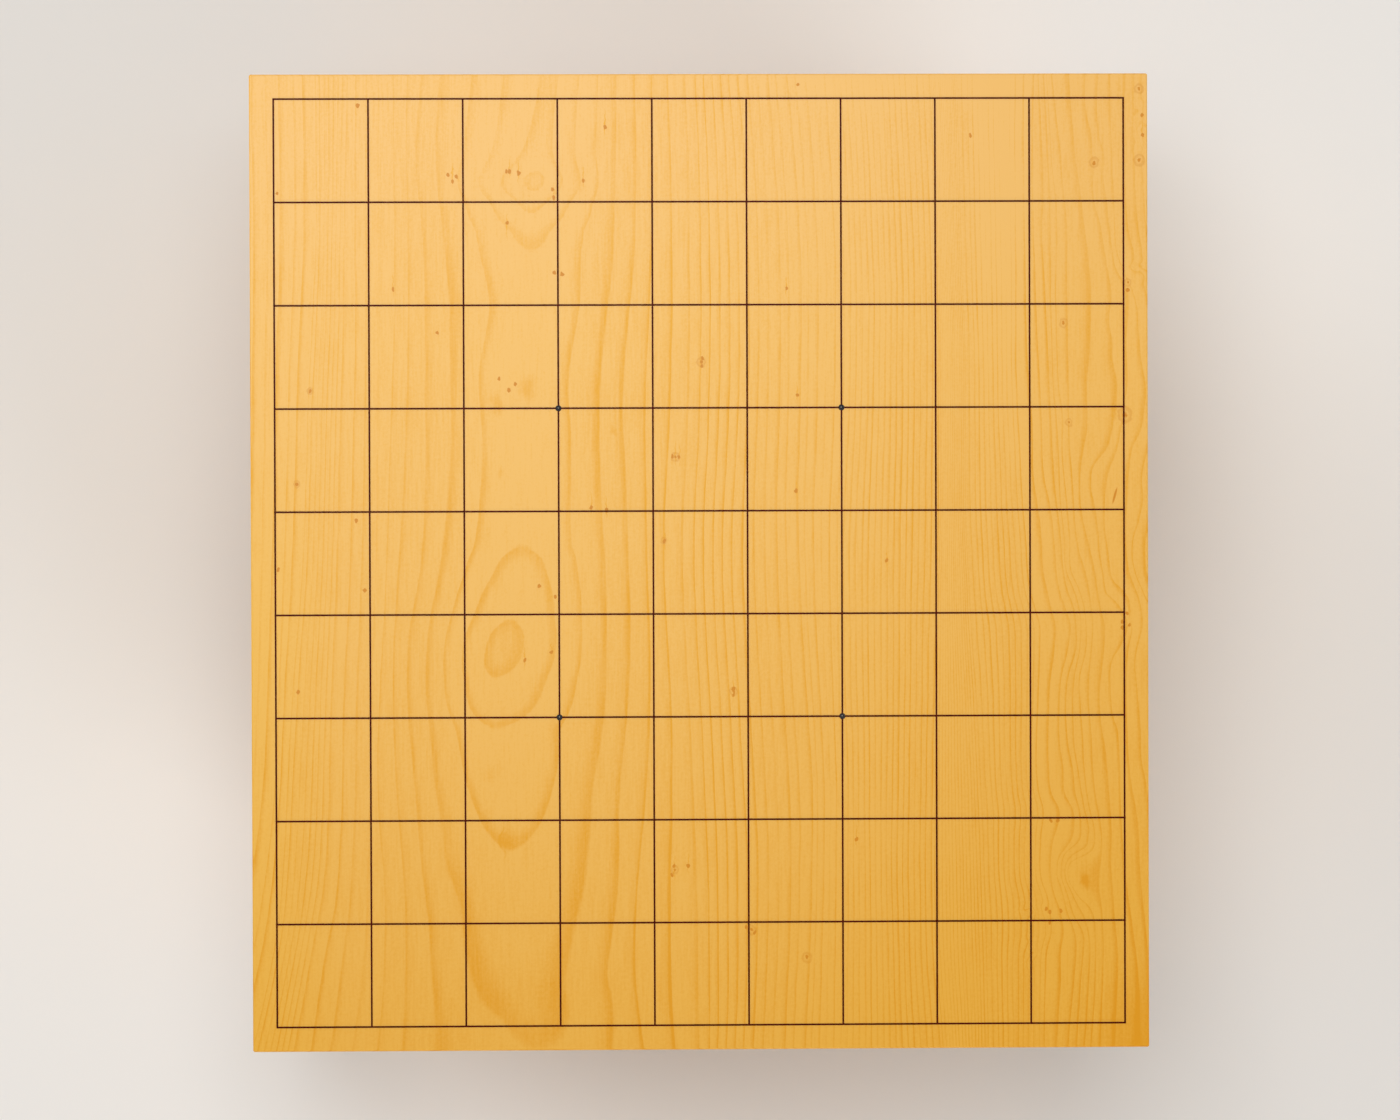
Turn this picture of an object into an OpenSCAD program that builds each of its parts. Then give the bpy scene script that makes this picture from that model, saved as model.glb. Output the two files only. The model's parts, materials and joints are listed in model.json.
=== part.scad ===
// Legged shogi board: one thick block of pale conifer wood, ruled on top with raised lacquer
// lines, standing on four carved legs whose tenons plug into its underside.
// Millimetres. +Z is up, +Y points away from the near player, and the feet stand on Z = 0.

/* [Playing grid] */
// Width of one square, across the board
cell_w = 35; // [32:0.5:38]
// Length of one square, from player to player
cell_l = 38.2; // [35:0.1:42]
// Bare border beside the outer file lines
border_w = 9; // [6:0.5:20]
// Bare border beyond the outer rank lines
border_l = 9.1; // [6:0.1:20]

/* [Lacquer] */
// Width of a line where it meets the wood
line_w = 0.65; // [0.4:0.05:1.2]
// Height of a file line, which is drawn first
line_h = 0.15; // [0.1:0.05:0.3]
// How far each long edge of a line slopes in
line_bevel = 0.1; // [0.05:0.01:0.18]
// Extra height of a rank line, which is drawn across the dry file lines
second_coat = 0.05; // [0.03:0.01:0.1]
// Diameter of a star point
star_d = 2.3; // [1.8:0.1:4]
// Height of a star point's dome
star_h = 0.5; // [0.45:0.05:0.9]

/* [Block] */
// Thickness of the block
board_t = 151.5; // [90:0.5:200]
// Chamfer of the top and upright edges
edge_chamfer = 0.5; // [0.3:0.1:3]
// Chamfer of the edges round the underside
base_chamfer = 3; // [1:0.5:8]

/* [Navel] */
// Side of the square recess where it opens in the underside
navel_w = 84; // [70:1:110]
// Depth of the recess
navel_depth = 22; // [12:1:40]
// How far each wall of the recess leans in by its floor
navel_lean = 5; // [1:0.5:8]
// Width of the flat floor that runs round the pyramid
navel_floor = 8; // [4:0.5:14]
// How far the tip of the pyramid stays inside the recess
navel_tip_drop = 3; // [1:0.5:8]

/* [Leg] */
// Height of a leg from the floor to its shoulder
leg_h = 94; // [80:1:120]
// Number of ridges round a leg
leg_ridges = 8; // [6:1:10]
// Radius over the ridges at the foot
foot_r = 24; // [16:1:32]
// Rounding of the edge of the foot
foot_edge = 1.5; // [0.5:0.5:4]
// Depth of the hollow between two ridges at the foot
foot_flute = 2.2; // [1:0.1:4]
// Radius over the ridges at the belly
belly_r = 46; // [38:1:52]
// Height of the belly's widest point above the floor
belly_z = 40; // [28:1:50]
// Depth of the hollow between two ridges at the belly
belly_flute = 4.6; // [3:0.1:8]
// Radius over the ridges at the neck
neck_r = 33; // [28:0.5:42]
// Distance of the neck below the block
neck_drop = 17; // [12:0.5:24]
// Depth of the hollow between two ridges at the neck
neck_flute = 4.6; // [3:0.1:7]
// Radius over the petal tips of the crown
crown_r = 45; // [42:0.5:50]
// Thickness of the petals' edge
crown_t = 4.5; // [2:0.5:8]
// Depth of the scallop between two petals
crown_flute = 8.5; // [5:0.5:11]

/* [Leg seat] */
// Distance from the side of the block to the leg's belly
leg_inset_w = 22; // [10:1:30]
// Distance from the end of the block to the leg's belly
leg_inset_l = 25; // [10:1:40]
// Side of the square tenon
tenon_w = 32; // [24:1:38]
// Length of the tenon
tenon_l = 26; // [16:1:34]
// Bevel round the end of the tenon
tenon_bevel = 2; // [0.5:0.5:4]
// Gap between each side of the tenon and its mortise
tenon_gap = 0.1; // [0.05:0.05:0.3]
// Depth of the mortise beyond the end of the tenon
mortise_relief = 2; // [1:0.5:6]

/* [Hidden] */
squares = 9;          // squares along each side, fixed by the game
camp_ranks = 3;       // squares from the edge of the grid to a star point
flute_steps = 6;      // points from one ridge of a leg to the next
flute_power = 1.8;    // how sharply the hollow rises to its ridges
swell_steps = 9;      // rings from foot to belly
shoulder_steps = 8;   // rings from belly to neck
flare_steps = 6;      // rings from neck to crown
overrun = 1;          // how far a cutting shape passes the face that it opens

grid_w = squares * cell_w;
grid_l = squares * cell_l;
board_w = grid_w + 2 * border_w;
board_l = grid_l + 2 * border_l;
top_z = leg_h + board_t;
neck_z = leg_h - neck_drop;
crown_z = leg_h - crown_t;
leg_x = board_w / 2 - leg_inset_w - belly_r;
leg_y = board_l / 2 - leg_inset_l - belly_r;
mortise_w = tenon_w + 2 * tenon_gap;
mortise_depth = tenon_l + mortise_relief;
pyramid_w = navel_w - 2 * navel_lean - 2 * navel_floor;
pyramid_h = navel_depth - navel_tip_drop;
star_x = grid_w / 2 - camp_ranks * cell_w;
star_y = grid_l / 2 - camp_ranks * cell_l;

SIDES = [["near_left", -1, -1], ["near_right", 1, -1], ["far_left", -1, 1], ["far_right", 1, 1]];

function line_x(i) = (i - squares / 2) * cell_w;
function line_y(i) = (i - squares / 2) * cell_l;

// Goes smoothly from a to b as t goes from 0 to 1.
function ease(a, b, t) = a + (b - a) * (1 - cos(180 * t)) / 2;

// Radius over the ridges of a leg: a swelling fruit, a drawn-in neck and a flaring crown.
function ridge_r(z) =
    z < belly_z ? foot_r + (belly_r - foot_r) * sin(90 * z / belly_z) :
    z < neck_z ? ease(belly_r, neck_r, (z - belly_z) / (neck_z - belly_z)) :
    z < crown_z ? neck_r + (crown_r - neck_r) * (1 - cos(90 * (z - neck_z) / (crown_z - neck_z))) :
    crown_r;

// Depth of the hollow between two ridges of a leg.
function flute_depth(z) =
    z < belly_z ? ease(foot_flute, belly_flute, z / belly_z) :
    z < neck_z ? ease(belly_flute, neck_flute, (z - belly_z) / (neck_z - belly_z)) :
    z < crown_z ? ease(neck_flute, crown_flute, (z - neck_z) / (crown_z - neck_z)) :
    crown_flute;

// Heights of the rings of points that a leg is lofted through.
leg_levels = concat(
    [0],
    [for (i = [0:swell_steps]) foot_edge + (belly_z - foot_edge) * i / swell_steps],
    [for (i = [1:shoulder_steps]) belly_z + (neck_z - belly_z) * i / shoulder_steps],
    [for (i = [1:flare_steps]) neck_z + (crown_z - neck_z) * i / flare_steps],
    [leg_h]
);

// One ring of points: |t| is 1 on a ridge and 0 in the middle of the hollow.
function leg_ring(z) = let (
    count = leg_ridges * flute_steps,
    ridge = ridge_r(z) - (z == 0 ? foot_edge : 0),
    depth = flute_depth(z)
) [
    for (k = [0:count - 1]) let (
        t = 2 * (k % flute_steps) / flute_steps - 1,
        r = ridge - depth * (1 - pow(abs(t), flute_power)),
        turn = 360 * k / count - 180 / leg_ridges
    ) [r * cos(turn), r * sin(turn), z]
];

// A straight-sided shape whose four sides lean in evenly, from `low` square at Z = 0 to `high` at Z = h.
module frustum(low, high, h) {
    outline = [[-low / 2, 0], [low / 2, 0], [high / 2, h], [-high / 2, h]];
    intersection() {
        rotate([90, 0, 0]) linear_extrude(height = low, center = true) polygon(outline);
        rotate([90, 0, 90]) linear_extrude(height = low, center = true) polygon(outline);
    }
}

// A pyramid with a square foot at Z = 0, on a plinth of the same plan that reaches below it.
module pyramid(low, h) {
    outline = [[-low / 2, -overrun], [low / 2, -overrun], [low / 2, 0], [0, h], [-low / 2, 0]];
    intersection() {
        rotate([90, 0, 0]) linear_extrude(height = low, center = true) polygon(outline);
        rotate([90, 0, 90]) linear_extrude(height = low, center = true) polygon(outline);
    }
}

// Upright outline of the block, seen along one side: small chamfers on top and larger ones below.
module block_side(across) {
    half = across / 2;
    polygon([
        [-half + base_chamfer, leg_h],
        [half - base_chamfer, leg_h],
        [half, leg_h + base_chamfer],
        [half, top_z - edge_chamfer],
        [half - edge_chamfer, top_z],
        [-half + edge_chamfer, top_z],
        [-half, top_z - edge_chamfer],
        [-half, leg_h + base_chamfer]
    ]);
}

// Plan of the block with its upright edges broken.
module block_plan() {
    x = board_w / 2;
    y = board_l / 2;
    c = edge_chamfer;
    polygon([
        [x - c, -y], [x, -y + c], [x, y - c], [x - c, y],
        [-x + c, y], [-x, y - c], [-x, -y + c], [-x + c, -y]
    ]);
}

// The planed block with every edge chamfered, before anything is cut in its underside.
module block_blank() {
    intersection() {
        rotate([90, 0, 0]) linear_extrude(height = board_l, center = true) block_side(board_w);
        rotate([90, 0, 90]) linear_extrude(height = board_w, center = true) block_side(board_l);
        translate([0, 0, leg_h]) linear_extrude(height = board_t) block_plan();
    }
}

// The square recess in the middle of the underside, with a pyramid left standing in it.
module navel() {
    mouth_w = navel_w + 2 * navel_lean * overrun / navel_depth;
    floor_w = navel_w - 2 * navel_lean;
    difference() {
        translate([0, 0, leg_h - overrun]) frustum(mouth_w, floor_w, navel_depth + overrun);
        translate([0, 0, leg_h + navel_depth]) mirror([0, 0, 1]) pyramid(pyramid_w, pyramid_h);
    }
}

module mortise() {
    translate([-mortise_w / 2, -mortise_w / 2, leg_h - overrun])
        cube([mortise_w, mortise_w, mortise_depth + overrun]);
}

module board_block() {
    color("#efbd6c") difference() {
        block_blank();
        navel();
        for (side = SIDES) translate([side[1] * leg_x, side[2] * leg_y, 0]) mortise();
    }
}

// The carved body of a leg, lofted through its rings and closed at the foot and the shoulder.
module leg_body() {
    count = leg_ridges * flute_steps;
    last = len(leg_levels) - 1;
    foot_centre = count * len(leg_levels);
    shoulder_centre = foot_centre + 1;
    points = concat(
        [for (z = leg_levels) each leg_ring(z)],
        [[0, 0, 0], [0, 0, leg_h]]
    );
    faces = concat(
        [for (j = [0:last - 1], k = [0:count - 1]) let (
            a = j * count + k,
            b = j * count + (k + 1) % count
        ) each [[a, a + count, b + count], [a, b + count, b]]],
        [for (k = [0:count - 1]) [foot_centre, k, (k + 1) % count]],
        [for (k = [0:count - 1]) [shoulder_centre, last * count + (k + 1) % count, last * count + k]]
    );
    polyhedron(points = points, faces = faces);
}

// The square tenon on top of a leg, with a bevelled end that finds its mortise.
module tenon() {
    translate([-tenon_w / 2, -tenon_w / 2, leg_h - overrun])
        cube([tenon_w, tenon_w, tenon_l - tenon_bevel + overrun]);
    translate([0, 0, leg_h + tenon_l - tenon_bevel])
        frustum(tenon_w, tenon_w - 2 * tenon_bevel, tenon_bevel);
}

module leg() {
    color("#e9b765") union() {
        leg_body();
        tenon();
    }
}

// Cross-section of a lacquer line of height h, standing on Y = 0.
module line_profile(h) {
    foot = line_w / 2;
    crest = foot - line_bevel;
    polygon([[-foot, 0], [foot, 0], [crest, h], [-crest, h]]);
}

// A file line runs from player to player and ends under the middle of the outer rank lines.
module file_line(i) {
    color("#2a120f") translate([line_x(i), 0, top_z])
        rotate([90, 0, 0]) linear_extrude(height = grid_l, center = true) line_profile(line_h);
}

// A rank line runs from side to side and climbs over every file line that it crosses.
module rank_line(j) {
    color("#2a120f") difference() {
        translate([0, line_y(j), top_z]) rotate([90, 0, 90])
            linear_extrude(height = grid_w + line_w, center = true) line_profile(line_h + second_coat);
        for (i = [0:squares]) file_line(i);
    }
}

// A star point is a drop of lacquer over the crossing of two lines.
module star_point(side) {
    x = side[1] * star_x;
    y = side[2] * star_y;
    dome_r = (pow(star_d / 2, 2) + pow(star_h, 2)) / (2 * star_h);
    color("#140a0a") difference() {
        translate([x, y, top_z]) intersection() {
            translate([0, 0, star_h - dome_r]) sphere(r = dome_r, $fn = 96);
            translate([-star_d / 2, -star_d / 2, 0]) cube([star_d, star_d, star_h]);
        }
        file_line(side[1] < 0 ? camp_ranks : squares - camp_ranks);
        rank_line(side[2] < 0 ? camp_ranks : squares - camp_ranks);
    }
}

board_block();
for (side = SIDES) {
    translate([side[1] * leg_x, side[2] * leg_y, 0]) leg();
    star_point(side);
}
for (i = [0:squares]) {
    file_line(i);
    rank_line(i);
}
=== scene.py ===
import json
import math

import bmesh
import bpy
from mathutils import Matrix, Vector


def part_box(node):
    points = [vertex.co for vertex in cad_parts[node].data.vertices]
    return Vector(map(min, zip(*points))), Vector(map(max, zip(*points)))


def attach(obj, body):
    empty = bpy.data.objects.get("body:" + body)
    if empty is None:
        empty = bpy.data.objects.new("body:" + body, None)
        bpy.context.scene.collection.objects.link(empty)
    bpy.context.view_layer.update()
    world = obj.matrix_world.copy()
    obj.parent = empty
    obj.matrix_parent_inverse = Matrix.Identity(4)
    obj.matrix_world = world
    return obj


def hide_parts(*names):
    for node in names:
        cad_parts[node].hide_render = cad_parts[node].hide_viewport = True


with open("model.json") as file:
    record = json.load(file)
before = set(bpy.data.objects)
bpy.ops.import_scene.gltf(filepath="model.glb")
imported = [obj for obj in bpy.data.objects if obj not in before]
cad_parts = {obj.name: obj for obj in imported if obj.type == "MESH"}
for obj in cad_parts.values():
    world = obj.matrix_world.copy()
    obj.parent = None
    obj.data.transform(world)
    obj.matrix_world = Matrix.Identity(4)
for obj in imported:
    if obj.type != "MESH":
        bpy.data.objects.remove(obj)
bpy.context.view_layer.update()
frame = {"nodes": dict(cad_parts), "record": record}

BLOCK_LOW, BLOCK_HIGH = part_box("board_block")

# Lengths in this file are millimetres until they reach Blender, which works in metres.
MM = 0.001
TOP = BLOCK_HIGH.z / MM
SHOULDER = BLOCK_LOW.z / MM
HALF_W = BLOCK_HIGH.x / MM
HALF_L = BLOCK_HIGH.y / MM

# Camera: two metres over the top, a little to its far left, aimed nearly straight down
CAMERA_PLACE = (-50.8, 30.55, 2250.0)
CAMERA_TURN = (-0.843, -1.449, -0.192)
LENS_MM = 139.0
SENSOR_MM = 36.0
FARTHEST_SEEN_M = 50.0

# Light
WORLD_LEVEL = 0.335
BACKDROP_LEVEL = 0.78
BACKDROP_WHITE = (1.0, 0.99, 0.975, 1)
FLOOR_PAINT = (0.8, 0.79, 0.77, 1)
KEY_PLACE = (-200.0, 465.0, 2650.0)
KEY_SIDE = 1000.0
KEY_WATTS = 26.1
NEAR_FILL_PLACE = (1500.0, -2000.0, 900.0)
NEAR_FILL_WATTS = 44.0
FAR_FILL_PLACE = (-1900.0, 1600.0, 900.0)
FAR_FILL_WATTS = 36.0
FILL_SIDE = 1800.0
# The floor is a disc whose own colour gives way to the backdrop between two distances
FLOOR_RADIUS_M = 9.0
FLOOR_SIDES = 96
FLOOR_FADE = (600.0, 1700.0)

# From here on a ramp is given as (from, to) or as (from, to, value at from, value at to).

# From the middle of the board to the point that the places of the grain are measured from
GRAIN_ORIGIN = (0.41, -0.45, 0.0)
# Growth rings where they meet the top: ring number, then (y, x) points from the near edge up.
# Ring 0 is the innermost closed contour, and numbers rise outward on both sides of the crest.
LEFT_RINGS = [
    (1, [(-180, -71), (-174, -74.5), (-170, -77), (-166, -82), (-160, -85.5), (-140, -89.5),
         (-126, -91), (-113, -95.5), (-98, -97), (-74, -100), (-30, -101.5), (0, -96.5),
         (45, -93), (90, -93), (120, -95), (150, -97.5), (180, -96)]),
    (2, [(-180, -100), (-150, -100.5), (-90, -106), (-30, -108.5), (0, -103.5), (60, -102),
         (120, -102.5), (150, -104.5), (180, -103)]),
    (3, [(-180, -111), (-135, -109.5), (-75, -113.5), (-30, -113.5), (30, -109.5), (90, -108),
         (180, -108)]),
    (4, [(-180, -120), (-135, -117), (-75, -120), (-30, -117.5), (30, -115), (90, -113),
         (180, -113)]),
    (5, [(-180, -130), (-150, -126), (-120, -124), (-60, -122.5), (0, -120.5), (60, -119.5),
         (180, -119)]),
    (7, [(-180, -145), (-150, -140.5), (-120, -135), (-60, -132.5), (0, -129.5), (60, -128),
         (180, -127)]),
    (8, [(-180, -151), (-150, -145.5), (-120, -140), (-60, -137), (0, -134.5), (90, -132),
         (180, -130)]),
    (15, [(-180, -166.5), (-150, -160), (-120, -155.5), (-60, -152), (0, -147.5), (60, -145),
          (120, -142), (180, -142)]),
    (17, [(-180, -175.5), (-150, -168), (-120, -162.5), (-90, -158.5), (-30, -155.5),
          (60, -152.5), (120, -150), (180, -150.5)]),
    (20, [(-180, -195), (-150, -185), (-120, -178), (-90, -171.5), (-60, -168.5), (0, -166.5),
          (90, -165), (180, -165.5)]),
    (22, [(-180, -202), (-150, -192), (-120, -184), (-90, -177), (-60, -173), (0, -171),
          (180, -170)]),
]
RIGHT_RINGS = [
    (1, [(-180, -46.5), (-166, -46), (-157, -48.5), (-148, -47), (-137, -45), (-124, -42),
         (-104, -40), (-85, -39), (-65, -35.5), (-30, -34), (0, -34.5), (30, -36), (60, -36),
         (90, -33.5), (112, -31), (150, -30), (180, -30)]),
    (2, [(-180, -32), (-162, -32), (-155, -33.5), (-139, -32), (-122, -30), (-83, -29),
         (-52, -26), (30, -26.5), (60, -27.5), (120, -23), (180, -23)]),
    (3, [(-180, -21), (-150, -24), (-60, -18.5), (0, -19), (60, -19.5), (120, -17),
         (180, -17)]),
    (4, [(-180, -9.5), (-150, -11), (-60, -10.5), (0, -13), (60, -10.5), (105, -9.5),
         (180, -11)]),
    (5, [(-180, 0), (-120, -0.5), (-60, -3), (0, -5.5), (60, -3), (105, -2.5), (180, -4)]),
    (10, [(-180, 16), (-120, 18), (-60, 15), (0, 12.5), (60, 15), (120, 15), (180, 11.5)]),
    (16, [(-180, 39), (-90, 41.5), (0, 37), (75, 37.5), (120, 37.5), (180, 33)]),
    (21, [(-180, 52), (-90, 53), (0, 51.5), (60, 54), (120, 54), (180, 50.5)]),
    (37, [(-180, 89), (-120, 86), (-60, 87), (0, 88.5), (90, 89), (180, 86)]),
    (52, [(-180, 107), (-60, 103.5), (0, 99.5), (90, 98.5), (180, 96)]),
    (63, [(-180, 128), (-156, 128.5), (-145, 129), (-139, 130.5), (-130, 130), (-124.5, 129),
          (-118.5, 127), (-104, 127), (-92.5, 128), (-87, 126.5), (-78, 125.5), (-67, 125.5),
          (-54, 126), (-33.5, 126.5), (-24, 126.5), (-18.5, 125), (-11, 123), (7.5, 121.5),
          (30, 120), (60, 118.5), (97, 118), (180, 118)]),
    (64, [(-180, 133), (-156, 134.5), (-145, 134.5), (-139, 135.5), (-130, 134), (-124.5, 132),
          (-118.5, 131), (-111, 131), (-104, 132), (-100, 133.5), (-93, 134.5), (-87, 131.5),
          (-78, 130.5), (-54, 130.5), (-44.5, 131), (-33.5, 132.5), (-24, 133), (-18.5, 131.5),
          (-11, 130), (-3.5, 128.5), (7.5, 128), (20.5, 126.5), (30, 125), (52, 124.5),
          (64, 123.5), (97, 122), (180, 121.5)]),
    (65, [(-180, 137), (-167, 138), (-156, 139), (-145, 140), (-139, 139.5), (-131, 136.5),
          (-126, 135.5), (-121, 134), (-118.5, 133), (-113.5, 133), (-110, 134), (-107.5, 136),
          (-104, 138.5), (-100, 139.5), (-93, 139), (-87, 136), (-78, 135.5), (-67, 134),
          (-54, 134), (-44.5, 134.5), (-33.5, 137), (-24, 138), (-18.5, 136.5), (-11, 134),
          (7.5, 132), (20.5, 130.5), (30, 128.5), (52, 127.5), (97, 125.5), (123, 124.5),
          (180, 125)]),
    (66, [(-180, 140), (-156, 141.5), (-145, 142.5), (-139, 142.5), (-132, 139), (-124, 136.5),
          (-118.5, 134.5), (-114, 134.5), (-111, 135), (-107.5, 137.5), (-106, 140), (-104, 141.5),
          (-100, 142), (-93, 141.5), (-87, 140), (-78, 139), (-67, 137), (-44.5, 137),
          (-33.5, 140), (-24, 140), (-18.5, 139.5), (-11, 137), (-3.5, 135.5), (7.5, 134.5),
          (20.5, 133), (30, 132), (52, 131), (97, 129), (123, 127.5), (136, 128), (180, 126.5)]),
    (67, [(-180, 143), (-156, 144.5), (-145, 145), (-139, 144.5), (-132, 142.5), (-127.5, 140),
          (-123, 138), (-118.5, 136), (-113.5, 136), (-111, 137.5), (-108.5, 140.5), (-107, 144),
          (-104, 144.5), (-100, 145), (-93, 143.5), (-87, 142.5), (-78, 141), (-67, 139.5),
          (-44.5, 139.5), (-33.5, 141.5), (-24, 142), (-18.5, 141.5), (-11, 139.5), (-3.5, 136.5),
          (7.5, 136), (20.5, 134.5), (30, 134), (52, 133), (64, 132), (97, 131), (136, 130.5),
          (180, 128.5)]),
    (68, [(-180, 145.5), (-156, 147), (-139, 147), (-132.5, 146.5), (-130, 145.5), (-128, 144),
          (-126, 141.5), (-122.5, 139), (-118.5, 137), (-114.5, 137), (-112, 138.5), (-110.8, 141),
          (-109.5, 145), (-107.5, 146.5), (-100, 147), (-93, 145.5), (-87, 144.5), (-78, 143.5),
          (-67, 143), (-54, 142), (-44.5, 141.5), (-33.5, 144), (-24, 144), (-18.5, 143.5),
          (-11, 141.5), (-3.5, 138.5), (7.5, 138), (20.5, 137), (30, 136), (41, 135), (52, 135.5),
          (64, 134), (97, 133), (133, 133), (141, 132), (156, 131), (180, 129.5)]),
    (69, [(-180, 149), (-167, 149.5), (-145, 150), (-132, 149.5), (-118.5, 148.5), (-111, 149.5),
          (-100, 149.5), (-93, 148.5), (-87, 147.5), (-78, 146.5), (-67, 146), (-54, 145),
          (-44.5, 145), (-33.5, 146), (-24, 146.5), (-18.5, 146), (-11, 145), (-3.5, 143.5),
          (2.5, 141.5), (7.5, 140.5), (20.5, 139.5), (30, 139), (41, 138), (64, 137.5), (97, 137),
          (123, 137), (140, 135.5), (153, 134.5), (166, 133), (180, 131.5)]),
    (70, [(-180, 154.5), (-167, 155), (-146, 155.5), (-136, 154.5), (-120, 153.5), (-110, 153),
          (-101, 153.5), (-92, 153), (-80, 152), (-70, 151), (-60.5, 149.5), (-50, 149),
          (-43.5, 149.5), (-28.5, 151), (-24, 151), (-18.5, 149.5), (-12.5, 148.5), (-3, 147),
          (5.5, 145), (14, 143), (22, 142), (32.5, 142), (40.5, 143), (49, 144.5), (66, 144.5),
          (77, 145.5), (97, 146), (116, 145), (123, 144), (138, 142), (149, 140.5), (166, 139),
          (180, 138)]),
    (71, [(-180, 164), (-156, 163.5), (-142, 162), (-119, 159), (-93, 157), (-81.5, 156.5),
          (-68, 156), (-63, 155.5), (-58.5, 154), (-48.5, 153), (-37.5, 153.5), (-35.5, 154.5),
          (-33.5, 156), (-29.5, 158), (-26, 159.5), (-21.5, 159.5), (-18.5, 157.5), (-16.5, 156),
          (-14.5, 154), (-13, 152), (-10, 151), (-6, 150.5), (2.5, 149), (10, 148.5), (21.5, 147),
          (25.5, 146), (30, 146), (35, 147), (37.5, 149), (41.5, 152), (46, 153.5), (54.5, 155),
          (65.5, 156), (70.5, 155), (75.5, 154), (80, 154), (89, 152.5), (98, 153.5), (109.5, 152),
          (120, 150.5), (126, 149.5), (132, 147.5), (149, 147), (159.5, 146), (165, 144.5),
          (180, 144)]),
    (72, [(-180, 167.5), (-141, 166.5), (-120, 164.5), (-97, 163.5), (-78, 160), (-60.5, 159),
          (-44.5, 159), (-33.5, 159.5), (-26, 161), (-19, 160.5), (-13.5, 159.5), (-10.5, 157),
          (-9, 155), (-6.5, 153.5), (-3, 153), (4.5, 152), (11, 151), (21.5, 151), (26, 151.5),
          (32, 152.5), (39, 155), (48.5, 157), (56, 158), (65.5, 159.5), (80, 159), (100.5, 159),
          (104.5, 157), (108.5, 155), (115, 154), (123, 153), (135, 152), (141, 151),
          (151.5, 151), (156, 149.5), (180, 149)]),
    (73, [(-180, 170.5), (-108, 167.5), (-84.5, 166.5), (-74.5, 164.5), (-61, 164), (-46, 162.5),
          (-37.5, 162), (-30.5, 163.5), (-24.5, 165), (-18, 164.5), (-10, 162), (-3.5, 160),
          (7.5, 159), (21, 159.5), (31.5, 160), (42, 161.5), (48, 164.5), (56, 166), (64, 166.5),
          (72, 165), (84.5, 163.5), (94.5, 162.5), (104, 159.5), (110, 157), (115, 155.5),
          (126.5, 155), (152, 154), (180, 153.5)]),
    (74, [(-180, 173.5), (-89, 170), (-52, 167.5), (-33.5, 167.5), (-24.5, 168), (-18, 167.5),
          (-11, 164.5), (-5, 162), (6, 161), (15, 163.5), (23, 165), (30, 164.5), (40.5, 166.5),
          (48.5, 168), (59.5, 169), (82, 167.5), (100.5, 165.5), (111, 162.5), (121, 160),
          (134, 159), (180, 159)]),
    (76, [(-180, 179), (-60, 174), (0, 170), (60, 175), (120, 167), (180, 165.5)]),
]
# The crest of the cathedral figure: where it runs, and the ring number along it
CREST_LINE = [(-180, -61.5), (-150, -67.5), (-108, -70.5), (-75, -73), (-60, -76), (-45, -76),
              (-30, -73), (-15, -69), (15, -65), (45, -63), (67, -66), (97, -58), (114, -61.5),
              (141, -60.5), (160, -57), (180, -54)]
CREST_RINGS = [(-180, 0.92), (-150, 0.52), (-130, 0.32), (-108, 0), (-95, -0.4), (-85, -0.68),
               (-75, -0.88), (-62.5, -1), (-58, -1.3), (-52, -1.7), (-44, -2), (-32, -2.33),
               (-20, -2), (-12, -1.8), (-6, -1.55), (1, -1.3), (7, -1), (30, -0.93),
               (67, -0.96), (97, -0.85), (114.5, -1), (118.5, -1.15), (122.5, -1.33), (127, -1.85),
               (134, -2.5), (137.5, -3.02), (141, -3.25), (144.5, -3.02), (149, -2.6),
               (155, -2.35), (180, -2.2)]
# The rings rise evenly from the crest, rounded off over a share of the way: (y, share), twice
CREST_ROUND = ((112.0, 0.3), (130.0, 0.1))
# How strongly the rings show: (x, strength) across the board, and (y, strength) along it
VIGOUR_ACROSS = [(-167, 1.0), (-142, 1.0), (-122, 0.7), (-98, 0.68), (-84, 0.8), (-70, 0.78),
                 (-50, 0.8), (-36, 0.85), (-20, 1.05), (0, 1.45), (16, 1.2), (32, 0.85),
                 (44, 0.88), (60, 1.1), (90, 1.3), (112, 1.3), (126, 0.8), (140, 0.62),
                 (167, 0.62)]
VIGOUR_ALONG = [(-180, 1.0), (-60, 1.0), (60, 0.97), (95, 0.85), (120, 0.68), (180, 0.66)]
PITH_DEPTH = 250.0
INNER_RING_WIDTH = 1.6
# Room that the curves are drawn in: along the board, across it, in ring numbers, and in strength
SPAN_Y = 184.0
SPAN_X = 220.0
RING_SPAN = 4.0
VIGOUR_SPAN = 2.0
# Slow wobble of the rings: its sizes in x, y and z, its swing, and the detail of its noise
WOBBLE_SIZE = (22.0, 60.0, 22.0)
WOBBLE_SWING = 0.9
WOBBLE_DETAIL = 3.0
# How a ring darkens over its own width, 0 to 1
RING_RISE = (0.4, 0.95, 0.0, 0.28)
RING_EDGE = (0.94, 1.0, 1.0, 0.0)
LATE_WOOD_END = 0.93
LATE_WOOD_DARK = 0.64
# Where late wood starts in a ring, by ring number: near the crest, and from there outward
LATE_START_INNER = (1.2, 2.2, 0.66, 0.80)
LATE_START_RINGS = (4.0, 14.0)
LATE_START_OUTER = 0.62
# No two rings are alike: how far their widths stray
RING_STRAY = 0.18
RING_STRAY_SCALE = 0.9
# By ring number: the strength of the weakest rings, and the extra strength of the outermost
WEAKEST_INNER = (2.0, 5.0, 0.9, 0.4)
WEAKEST_OUTER = (61.0, 64.0, 0.4, 0.95)
LIVELY_OUTER = (61.0, 64.0, 1.0, 1.3)
# Patches in which the rings show less or more
PATCH_SIZE = 30.0
PATCH_RAMP = (0.3, 0.7, 0.6, 1.15)
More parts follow.
